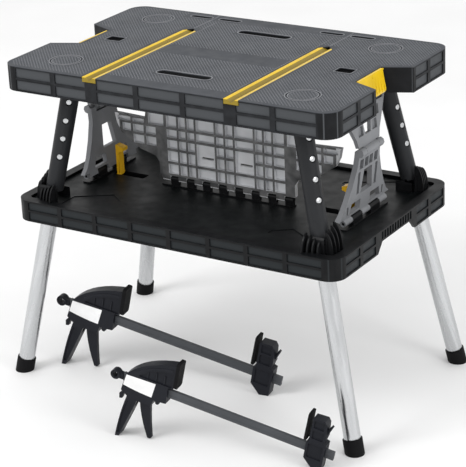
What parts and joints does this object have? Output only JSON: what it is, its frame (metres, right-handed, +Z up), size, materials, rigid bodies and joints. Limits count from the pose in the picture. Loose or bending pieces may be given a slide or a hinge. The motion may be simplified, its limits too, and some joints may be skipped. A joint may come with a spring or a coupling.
{
  "type": "folding work table with two bar clamps",
  "caption": "Folding plastic work table with a grooved top, a lower shelf, hinged gray supports, splayed aluminium legs and loose bar clamps standing in front",
  "frame": {"origin": "on the floor, under the middle of the whole set (table and clamps)", "axes": "+X along the table's length, -Y towards its front, +Z up"},
  "size_m": [0.9447, 0.704, 0.77],
  "materials": {
    "charcoal_plastic": "textured charcoal moulding",
    "black_plastic": "satin black moulding",
    "gray_plastic": "light gray moulding",
    "yellow_plastic": "yellow moulding",
    "orange_plastic": "orange-yellow moulding",
    "aluminium_tube": "polished drawn tube",
    "dark_bar": "dark gray coated steel bar",
    "black_rubber": "matt black rubber"
  },
  "bodies": {
    "shelf": {"shelf": "black_plastic", "base_rail_left": "black_plastic", "base_rail_right": "black_plastic", "panel_rail": "black_plastic", "strut_bracket_front_left": "black_plastic", "strut_bracket_front_right": "black_plastic", "strut_bracket_back_left": "black_plastic", "strut_bracket_back_right": "black_plastic", "leg_bracket_front_left": "black_plastic", "leg_bracket_front_right": "black_plastic", "leg_bracket_back_left": "black_plastic", "leg_bracket_back_right": "black_plastic"},
    "left_lower": {"support_lower_left": "gray_plastic"},
    "left_upper": {"support_upper_left": "gray_plastic"},
    "right_lower": {"support_lower_right": "gray_plastic"},
    "right_upper": {"support_upper_right": "gray_plastic"},
    "tabletop": {"tabletop": "charcoal_plastic", "groove_insert_left": "yellow_plastic", "groove_insert_right": "yellow_plastic", "top_rail_left": "black_plastic", "top_rail_right": "black_plastic"},
    "centre_panel": {"centre_panel": "gray_plastic"},
    "strut_front_left": {"strut_front_left": "black_plastic", "strut_core_front_left": "aluminium_tube"},
    "strut_front_right": {"strut_front_right": "black_plastic", "strut_core_front_right": "aluminium_tube"},
    "strut_back_left": {"strut_back_left": "black_plastic", "strut_core_back_left": "aluminium_tube"},
    "strut_back_right": {"strut_back_right": "black_plastic", "strut_core_back_right": "aluminium_tube"},
    "leg_front_left": {"leg_front_left": "aluminium_tube", "foot_front_left": "black_rubber"},
    "leg_front_right": {"leg_front_right": "aluminium_tube", "foot_front_right": "black_rubber"},
    "leg_back_left": {"leg_back_left": "aluminium_tube", "foot_back_left": "black_rubber"},
    "leg_back_right": {"leg_back_right": "aluminium_tube", "foot_back_right": "black_rubber"},
    "hook_left": {"deck_hook_left": "orange_plastic"},
    "lever_left": {"release_lever_left": "yellow_plastic"},
    "hook_right": {"deck_hook_right": "orange_plastic"},
    "lever_right": {"release_lever_right": "yellow_plastic"},
    "clamp_back": {"clamp_back_body": "black_plastic", "clamp_back_pad": "black_rubber"},
    "clamp_back_bar": {"clamp_back_bar": "dark_bar", "clamp_back_ring": "black_plastic", "clamp_back_far_jaw": "black_plastic", "clamp_back_far_pad": "black_rubber"},
    "clamp_back_trigger": {"clamp_back_trigger": "black_plastic"},
    "clamp_back_release": {"clamp_back_release": "black_plastic"},
    "clamp_front": {"clamp_front_body": "black_plastic", "clamp_front_pad": "black_rubber"},
    "clamp_front_bar": {"clamp_front_bar": "dark_bar", "clamp_front_ring": "black_plastic", "clamp_front_far_jaw": "black_plastic", "clamp_front_far_pad": "black_rubber"},
    "clamp_front_trigger": {"clamp_front_trigger": "black_plastic"},
    "clamp_front_release": {"clamp_front_release": "black_plastic"}
  },
  "joints": [
    {"name": "fold", "type": "hinge", "parent": "shelf", "child": "left_lower", "pos_m": [-0.3439, 0.0759, 0.456], "axis": [0, 1, 0], "range_deg": [0, 90.4]},
    {"name": "left_upper_hinge", "type": "hinge", "parent": "left_lower", "child": "left_upper", "pos_m": [-0.36218, 0.0759, 0.60488], "axis": [0, 1, 0], "range_deg": [-181.8, 0]},
    {"name": "tabletop_hinge", "type": "hinge", "parent": "left_upper", "child": "tabletop", "pos_m": [-0.3439, 0.0759, 0.75376], "axis": [0, 1, 0], "range_deg": [0, 91.4]},
    {"name": "right_lower_hinge", "type": "hinge", "parent": "shelf", "child": "right_lower", "pos_m": [0.3441, 0.0759, 0.456], "axis": [0, 1, 0], "range_deg": [-91.4, 0]},
    {"name": "right_upper_hinge", "type": "hinge", "parent": "right_lower", "child": "right_upper", "pos_m": [0.36238, 0.0759, 0.60488], "axis": [0, 1, 0], "range_deg": [0, 181.8]},
    {"name": "panel_hinge", "type": "hinge", "parent": "shelf", "child": "centre_panel", "pos_m": [0.0001, 0.0599, 0.456], "axis": [1, 0, 0], "range_deg": [0, 90.2]},
    {"name": "strut_front_left_hinge", "type": "hinge", "parent": "shelf", "child": "strut_front_left", "pos_m": [-0.3513, -0.12975, 0.464], "axis": [0, 0.9946, -0.1036], "range_deg": [0, 78.47]},
    {"name": "strut_front_right_hinge", "type": "hinge", "parent": "shelf", "child": "strut_front_right", "pos_m": [0.3515, -0.12975, 0.464], "axis": [0, -0.9946, 0.1036], "range_deg": [0, 78.47]},
    {"name": "strut_back_left_hinge", "type": "hinge", "parent": "shelf", "child": "strut_back_left", "pos_m": [-0.3513, 0.28155, 0.464], "axis": [0, 0.9946, 0.1036], "range_deg": [0, 78.47]},
    {"name": "strut_back_right_hinge", "type": "hinge", "parent": "shelf", "child": "strut_back_right", "pos_m": [0.3515, 0.28155, 0.464], "axis": [0, -0.9946, -0.1036], "range_deg": [0, 78.47]},
    {"name": "leg_front_left_hinge", "type": "hinge", "parent": "shelf", "child": "leg_front_left", "pos_m": [-0.36214, -0.13506, 0.413], "axis": [0, -0.9946, 0.1036], "range_deg": [0, 101.93]},
    {"name": "leg_front_right_hinge", "type": "hinge", "parent": "shelf", "child": "leg_front_right", "pos_m": [0.36234, -0.13506, 0.413], "axis": [0.1664, 0.9838, -0.0672], "range_deg": [0, 102.76]},
    {"name": "leg_back_left_hinge", "type": "hinge", "parent": "shelf", "child": "leg_back_left", "pos_m": [-0.36214, 0.28686, 0.413], "axis": [0, -0.9946, -0.1036], "range_deg": [0, 101.93]},
    {"name": "leg_back_right_hinge", "type": "hinge", "parent": "shelf", "child": "leg_back_right", "pos_m": [0.36234, 0.28686, 0.413], "axis": [-0.1664, 0.9838, 0.0672], "range_deg": [0, 102.76]},
    {"name": "hook_left_hinge", "type": "hinge", "parent": "shelf", "child": "hook_left", "pos_m": [-0.3119, 0.0759, 0.44], "axis": [0, 1, 0], "range_deg": [0, 89]},
    {"name": "lever_left_hinge", "type": "hinge", "parent": "tabletop", "child": "lever_left", "pos_m": [-0.3633, 0.0759, 0.7656], "axis": [0, 1, 0], "range_deg": [0, 18], "stiffness_Nm_per_rad": 0.25, "springref_deg": -34.38},
    {"name": "hook_right_hinge", "type": "hinge", "parent": "shelf", "child": "hook_right", "pos_m": [0.3121, 0.0759, 0.44], "axis": [0, -1, 0], "range_deg": [0, 89]},
    {"name": "lever_right_hinge", "type": "hinge", "parent": "tabletop", "child": "lever_right", "pos_m": [0.3635, 0.0759, 0.7656], "axis": [0, -1, 0], "range_deg": [0, 18], "stiffness_Nm_per_rad": 0.25, "springref_deg": -34.38},
    {"name": "clamp_back_lift", "type": "slide", "parent": "shelf", "child": "clamp_back", "axis": [0, 0, 1], "range_m": [0, 0.1]},
    {"name": "clamp_back_bar_slide", "type": "slide", "parent": "clamp_back", "child": "clamp_back_bar", "axis": [-0.9641, -0.1441, 0.2233], "range_m": [0, 0.308]},
    {"name": "clamp_back_trigger_hinge", "type": "hinge", "parent": "clamp_back", "child": "clamp_back_trigger", "pos_m": [-0.29787, -0.08541, 0.1204], "axis": [-0.1478, 0.989, 0], "range_deg": [0, 14], "stiffness_Nm_per_rad": 1.2, "springref_deg": -20.05},
    {"name": "clamp_back_release_hinge", "type": "hinge", "parent": "clamp_back", "child": "clamp_back_release", "pos_m": [-0.35562, -0.09404, 0.13151], "axis": [0.1478, -0.989, 0], "range_deg": [0, 12], "stiffness_Nm_per_rad": 0.3, "springref_deg": -22.92},
    {"name": "clamp_front_lift", "type": "slide", "parent": "shelf", "child": "clamp_front", "axis": [0, 0, 1], "range_m": [0, 0.1]},
    {"name": "clamp_front_bar_slide", "type": "slide", "parent": "clamp_front", "child": "clamp_front_bar", "axis": [-0.9641, -0.1441, 0.2233], "range_m": [0, 0.28]},
    {"name": "clamp_front_trigger_hinge", "type": "hinge", "parent": "clamp_front", "child": "clamp_front_trigger", "pos_m": [0.0204, -0.32647, 0.10945], "axis": [-0.1478, 0.989, 0], "range_deg": [0, 14], "stiffness_Nm_per_rad": 1.2, "springref_deg": -20.05},
    {"name": "clamp_front_release_hinge", "type": "hinge", "parent": "clamp_front", "child": "clamp_front_release", "pos_m": [-0.0321, -0.33432, 0.11956], "axis": [0.1478, -0.989, 0], "range_deg": [0, 12], "stiffness_Nm_per_rad": 0.3, "springref_deg": -22.92}
  ],
  "couplings": [
    {"joint": "left_upper_hinge", "follows": "fold", "ratio": -2},
    {"joint": "tabletop_hinge", "follows": "fold", "ratio": 1},
    {"joint": "right_lower_hinge", "follows": "fold", "ratio": -1},
    {"joint": "right_upper_hinge", "follows": "fold", "ratio": 2},
    {"joint": "panel_hinge", "follows": "fold", "ratio": 0.995},
    {"joint": "strut_front_left_hinge", "follows": "fold", "ratio": 0.8635},
    {"joint": "strut_front_right_hinge", "follows": "fold", "ratio": 0.8635},
    {"joint": "strut_back_left_hinge", "follows": "fold", "ratio": 0.8635},
    {"joint": "strut_back_right_hinge", "follows": "fold", "ratio": 0.8635},
    {"joint": "hook_left_hinge", "follows": "fold", "ratio": 0.973},
    {"joint": "hook_right_hinge", "follows": "fold", "ratio": 0.973}
  ]
}
